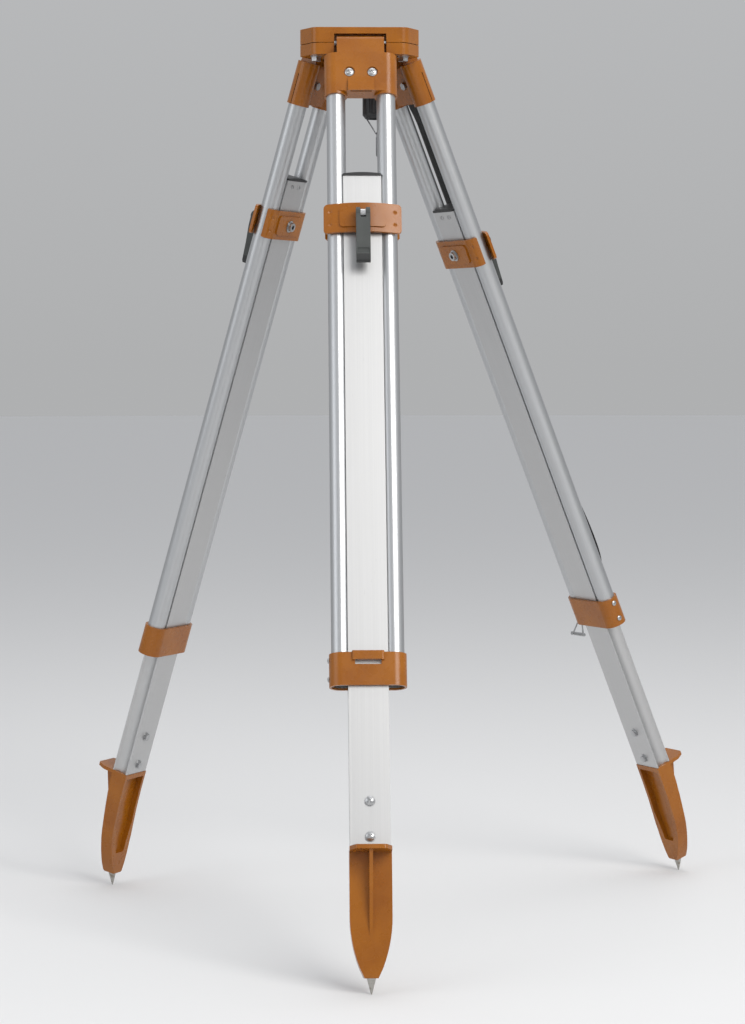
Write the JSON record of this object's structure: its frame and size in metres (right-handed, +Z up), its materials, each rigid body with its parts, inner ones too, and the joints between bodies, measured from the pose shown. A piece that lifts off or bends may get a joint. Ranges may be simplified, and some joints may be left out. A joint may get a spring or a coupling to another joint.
{
  "type": "surveyor tripod",
  "caption": "Flat-topped surveyor's tripod: hinged legs of paired aluminium tubes with sliding lower legs, lever clamps, spiked feet and a captive instrument screw.",
  "frame": {"origin": "centre of the head's flat top face, on the axis of its opening", "axes": "+Z up out of the head's top face, the front leg points to -Y, and the right leg to +X and +Y"},
  "size_m": [0.8, 0.7076, 1.11],
  "materials": {
    "orange_powder_coat": "glossy powder coat on a casting",
    "anodised_tube": "satin anodised, drawn lengthways",
    "anodised_panel": "satin anodised, brushed lengthways",
    "black_plastic": "moulded, satin",
    "black_enamel": "black enamel on pressed steel",
    "graphite_plastic": "glass-filled nylon, satin",
    "black_webbing": "woven webbing",
    "spike_steel": "turned steel, worn",
    "brass": "turned brass",
    "dark_wire": "dark drawn wire",
    "zinc_steel": "bright zinc plate"
  },
  "bodies": {
    "head": {"head_top_plate": "orange_powder_coat", "head_bottom_plate": "orange_powder_coat", "head_corner_bolts": "zinc_steel", "hinge_pins": "zinc_steel", "arm_pivot_bolt": "zinc_steel"},
    "screw_arm": {"screw_arm": "black_enamel"},
    "screw_bush": {"screw_bush": "brass"},
    "thrust_washer": {"thrust_washer": "brass"},
    "instrument_screw": {"instrument_screw": "brass", "screw_knob": "black_plastic"},
    "plumb_bail": {"plumb_bail": "dark_wire"},
    "plumb_hook": {"plumb_hook": "dark_wire"},
    "front_upper_leg": {"front_bracket": "orange_powder_coat", "front_tubes": "anodised_tube", "front_bracket_screws": "zinc_steel", "front_collar": "orange_powder_coat", "front_collar_screws": "zinc_steel"},
    "front_lower_leg": {"front_lower_leg": "anodised_panel", "front_end_cap": "black_plastic", "front_leg_bolts": "zinc_steel", "front_foot": "orange_powder_coat", "front_spike": "spike_steel", "front_clamp_front": "orange_powder_coat", "front_clamp_rear": "orange_powder_coat", "front_clamp_bolt": "zinc_steel", "front_lever_pin": "zinc_steel"},
    "front_lever": {"front_lever": "graphite_plastic"},
    "right_upper_leg": {"right_bracket": "orange_powder_coat", "right_tubes": "anodised_tube", "right_bracket_screws": "zinc_steel", "right_collar": "orange_powder_coat", "right_collar_screws": "zinc_steel", "carry_strap": "black_webbing", "strap_fittings": "zinc_steel"},
    "right_lower_leg": {"right_lower_leg": "anodised_panel", "right_end_cap": "black_plastic", "right_leg_bolts": "zinc_steel", "right_foot": "orange_powder_coat", "right_spike": "spike_steel", "right_clamp_front": "orange_powder_coat", "right_clamp_rear": "orange_powder_coat", "right_clamp_bolt": "zinc_steel", "right_lever_pin": "zinc_steel"},
    "right_lever": {"right_lever": "graphite_plastic"},
    "left_upper_leg": {"left_bracket": "orange_powder_coat", "left_tubes": "anodised_tube", "left_bracket_screws": "zinc_steel", "left_collar": "orange_powder_coat", "left_collar_screws": "zinc_steel"},
    "left_lower_leg": {"left_lower_leg": "anodised_panel", "left_end_cap": "black_plastic", "left_leg_bolts": "zinc_steel", "left_foot": "orange_powder_coat", "left_spike": "spike_steel", "left_clamp_front": "orange_powder_coat", "left_clamp_rear": "orange_powder_coat", "left_clamp_bolt": "zinc_steel", "left_lever_pin": "zinc_steel"},
    "left_lever": {"left_lever": "graphite_plastic"},
    "strap_ring": {"strap_ring": "zinc_steel"}
  },
  "joints": [
    {"name": "arm_swing", "type": "hinge", "parent": "head", "child": "screw_arm", "pos_m": [0, 0.046, -0.036], "axis": [0, 0, 1], "range_deg": [-44.3, 0]},
    {"name": "bush_slide", "type": "slide", "parent": "screw_arm", "child": "screw_bush", "axis": [-0.3773, 0.9261, 0], "range_m": [0, 0.024]},
    {"name": "screw_lift", "type": "slide", "parent": "screw_bush", "child": "thrust_washer", "axis": [0, 0, 1], "range_m": [0, 0.015]},
    {"name": "screw_turn", "type": "hinge", "parent": "thrust_washer", "child": "instrument_screw", "pos_m": [0.022, -0.008, -0.06], "axis": [0, 0, 1], "continuous": true},
    {"name": "bail_swing", "type": "hinge", "parent": "instrument_screw", "child": "plumb_bail", "pos_m": [0.022, -0.008, -0.104], "axis": [1, 0, 0], "range_deg": [-30, 30]},
    {"name": "hook_swing", "type": "hinge", "parent": "plumb_bail", "child": "plumb_hook", "pos_m": [0.022, -0.008, -0.126], "axis": [1, 0, 0], "range_deg": [-60, 60]},
    {"name": "front_leg_spread", "type": "hinge", "parent": "head", "child": "front_upper_leg", "pos_m": [0, -0.048, -0.0185], "axis": [-1, 0, 0], "range_deg": [-20.1, 15.9]},
    {"name": "front_leg_slide", "type": "slide", "parent": "front_upper_leg", "child": "front_lower_leg", "axis": [0, -0.3437, -0.9391], "range_m": [-0.1, 0.501]},
    {"name": "front_lever_open", "type": "hinge", "parent": "front_lower_leg", "child": "front_lever", "pos_m": [0, -0.15862, -0.23347], "axis": [-1, 0, 0], "range_deg": [0, 120]},
    {"name": "right_leg_spread", "type": "hinge", "parent": "head", "child": "right_upper_leg", "pos_m": [0.04157, 0.024, -0.0185], "axis": [0.5, -0.866, 0], "range_deg": [-24.2, 11.8]},
    {"name": "right_leg_slide", "type": "slide", "parent": "right_upper_leg", "child": "right_lower_leg", "axis": [0.355, 0.205, -0.9121], "range_m": [-0.133, 0.469]},
    {"name": "right_lever_open", "type": "hinge", "parent": "right_lower_leg", "child": "right_lever", "pos_m": [0.162, 0.09353, -0.25475], "axis": [0.5, -0.866, 0], "range_deg": [0, 120]},
    {"name": "left_leg_spread", "type": "hinge", "parent": "head", "child": "left_upper_leg", "pos_m": [-0.04157, 0.024, -0.0185], "axis": [0.5, 0.866, 0], "range_deg": [-17.9, 18.1]},
    {"name": "left_leg_slide", "type": "slide", "parent": "left_upper_leg", "child": "left_lower_leg", "axis": [-0.2662, 0.1537, -0.9516], "range_m": [-0.086, 0.515]},
    {"name": "left_lever_open", "type": "hinge", "parent": "left_lower_leg", "child": "left_lever", "pos_m": [-0.12633, 0.07293, -0.2239], "axis": [0.5, 0.866, 0], "range_deg": [0, 120]},
    {"name": "ring_swing", "type": "hinge", "parent": "right_upper_leg", "child": "strap_ring", "pos_m": [0.3073, 0.23631, -0.75212], "axis": [-0.7899, -0.4561, -0.4099], "range_deg": [0, 42]}
  ]
}
